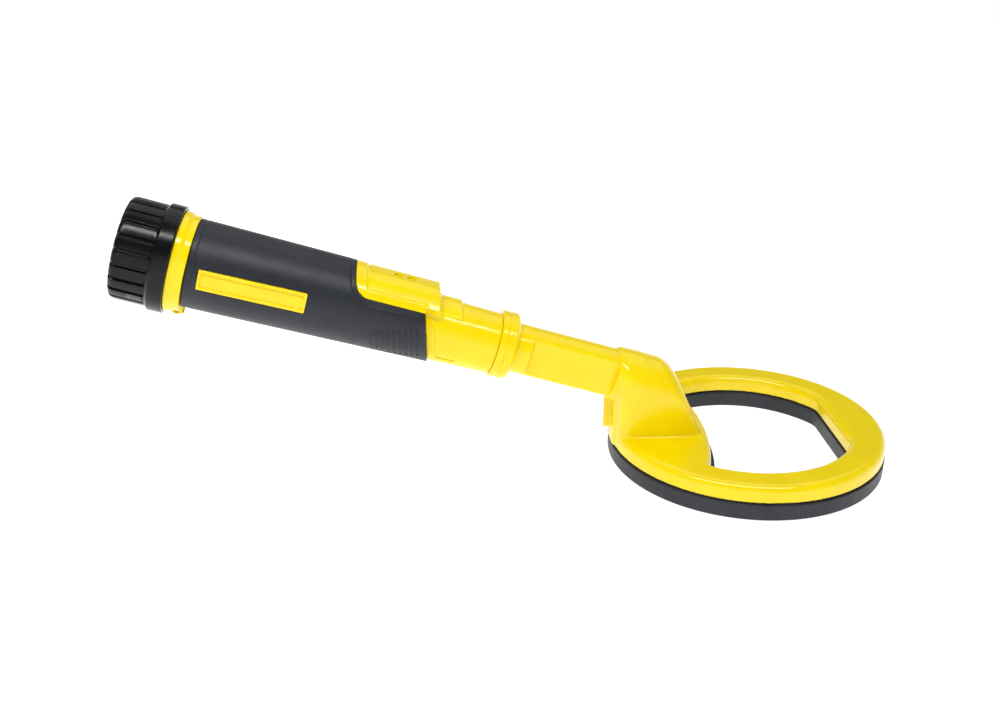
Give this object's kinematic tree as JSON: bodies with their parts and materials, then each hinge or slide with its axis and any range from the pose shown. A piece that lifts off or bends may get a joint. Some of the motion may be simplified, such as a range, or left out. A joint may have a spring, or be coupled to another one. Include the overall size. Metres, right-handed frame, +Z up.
{
  "type": "metal detector",
  "caption": "Hand-held metal detector: ribbed screw cap, rubber-gripped handle with push buttons and a locking collar that carries a lift-off ring search coil.",
  "frame": {"origin": "middle of the object's bounding box, on the plane of the coil's flat underside", "axes": "+Z up from the coil's underside, +X along the object from the end cap towards the coil, +Y to the side"},
  "size_m": [0.4064, 0.15, 0.1484],
  "materials": {
    "yellow_plastic": "glossy saturated yellow ABS",
    "black_plastic": "semi-gloss black nylon",
    "coil_base_plastic": "fine-textured dark grey",
    "grip_rubber": "matte slate-black overmoulded rubber",
    "seal_rubber": "black nitrile",
    "seal_silicone": "red silicone",
    "washer_nylon": "natural nylon",
    "former_plastic": "natural glass-filled nylon",
    "copper": "enamelled copper wire",
    "resin": "dark potting resin",
    "brass_contact": "plated contact brass",
    "steel": "bright steel",
    "board_green": "solder-masked board",
    "chip_black": "moulded packages",
    "chassis_plastic": "natural moulded plastic",
    "cell_wrap": "shrink-wrapped cell",
    "wire_red": "insulated leads",
    "led_clear": "clear lens"
  },
  "bodies": {
    "handle": {"handle_shell": "yellow_plastic", "rubber_grip": "grip_rubber", "badge_plate": "yellow_plastic", "lanyard_ring": "yellow_plastic", "button_seal": "seal_rubber", "tact_switches": "chip_black", "circuit_board": "board_green", "board_chips": "chip_black", "buzzer": "chip_black", "vibration_motor": "steel", "torch_led": "led_clear", "torch_lens": "led_clear", "socket_connector": "black_plastic", "socket_leads": "wire_red", "chassis": "chassis_plastic", "chassis_screws": "steel", "battery_sleeve": "chassis_plastic", "battery_cell": "cell_wrap", "battery_spring": "steel"},
    "coil_arm": {"coil_cover": "yellow_plastic", "coil_base": "coil_base_plastic", "coil_former": "former_plastic", "coil_winding": "copper", "coil_resin": "resin", "coil_lead": "chip_black", "arm_tube": "yellow_plastic", "arm_plug": "black_plastic", "plug_pins": "brass_contact", "plug_seals": "seal_rubber", "collar_washer": "washer_nylon"},
    "lock_collar": {"locking_collar": "yellow_plastic"},
    "front_key": {"front_button": "yellow_plastic"},
    "rear_key": {"rear_button": "yellow_plastic"},
    "motor_rotor": {"motor_weight": "brass_contact"},
    "cap_carrier": {"cap_seal": "seal_silicone"},
    "screw_cap": {"end_cap": "black_plastic", "cap_spring": "steel", "cap_contact": "brass_contact"}
  },
  "joints": [
    {"name": "front_button_press", "type": "slide", "parent": "handle", "child": "front_key", "axis": [-0.2874, 0, -0.9578], "range_m": [0, 0.0007], "stiffness_N_per_m": 1500},
    {"name": "rear_button_press", "type": "slide", "parent": "handle", "child": "rear_key", "axis": [-0.2874, 0, -0.9578], "range_m": [0, 0.0007], "stiffness_N_per_m": 1500},
    {"name": "motor_spin", "type": "hinge", "parent": "handle", "child": "motor_rotor", "pos_m": [-0.07187, 0, 0.08375], "axis": [-0.9578, 0, 0.2874], "continuous": true},
    {"name": "cap_lift", "type": "slide", "parent": "handle", "child": "cap_carrier", "axis": [-0.9578, 0, 0.2874], "range_m": [0, 0.00901]},
    {"name": "cap_turn", "type": "hinge", "parent": "cap_carrier", "child": "screw_cap", "pos_m": [-0.18786, 0, 0.12168], "axis": [-0.9578, 0, 0.2874], "range_deg": [0, 1080]},
    {"name": "arm_draw", "type": "slide", "parent": "handle", "child": "coil_arm", "axis": [0.9578, 0, -0.2874], "range_m": [0, 0.0042]},
    {"name": "collar_turn", "type": "hinge", "parent": "coil_arm", "child": "lock_collar", "pos_m": [-0.00588, 0, 0.06708], "axis": [0.9578, 0, -0.2874], "range_deg": [0, 1081]}
  ],
  "couplings": [
    {"joint": "cap_lift", "follows": "cap_turn", "m_per_rad": 0.00047746},
    {"joint": "collar_turn", "follows": "arm_draw", "rad_per_m": 4488}
  ]
}
